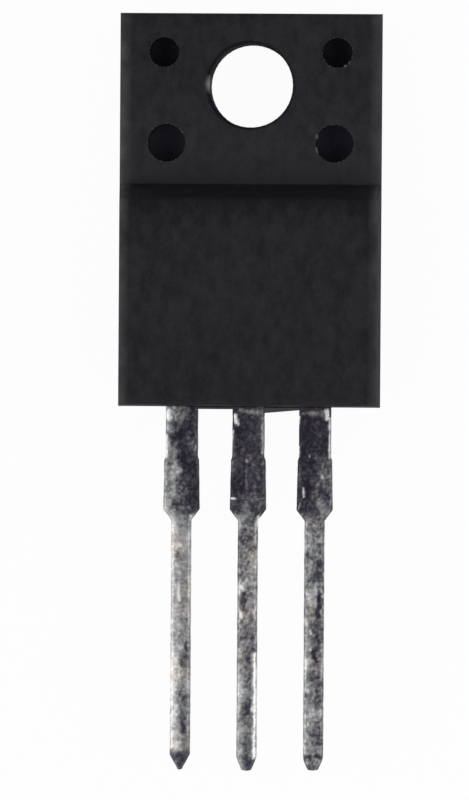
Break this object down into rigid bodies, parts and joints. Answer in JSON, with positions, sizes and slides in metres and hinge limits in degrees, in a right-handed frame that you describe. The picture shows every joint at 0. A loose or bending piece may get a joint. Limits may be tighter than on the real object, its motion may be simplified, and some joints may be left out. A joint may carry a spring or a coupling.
{
  "type": "power transistor",
  "caption": "Fully moulded power transistor: black epoxy body with a stepped tab and screw hole, tinned leads, and a lead frame, die and bond wires inside.",
  "frame": {"origin": "centre of the screw hole on the flat back face, which is also the surface the part lies on", "axes": "+Z out of the front face, along the screw hole; +Y towards the tab's free end, so the leads point along -Y; +X to the right seen from the front, towards the emitter lead"},
  "size_m": [0.01, 0.0287, 0.0045],
  "materials": {
    "epoxy": "fine matt moulded epoxy, charcoal black",
    "tinned_lead": "hot-dipped tin over copper, mottled and tarnished",
    "solder": "dull solder",
    "silicon": "polished silicon",
    "bond_wire": "drawn aluminium wire"
  },
  "bodies": {
    "root": {"moulded_body": "epoxy", "collector_frame": "tinned_lead", "base_lead": "tinned_lead", "emitter_lead": "tinned_lead", "die_solder": "solder", "silicon_die": "silicon", "base_bond_wire": "bond_wire", "emitter_bond_wire": "bond_wire"}
  },
  "joints": []
}
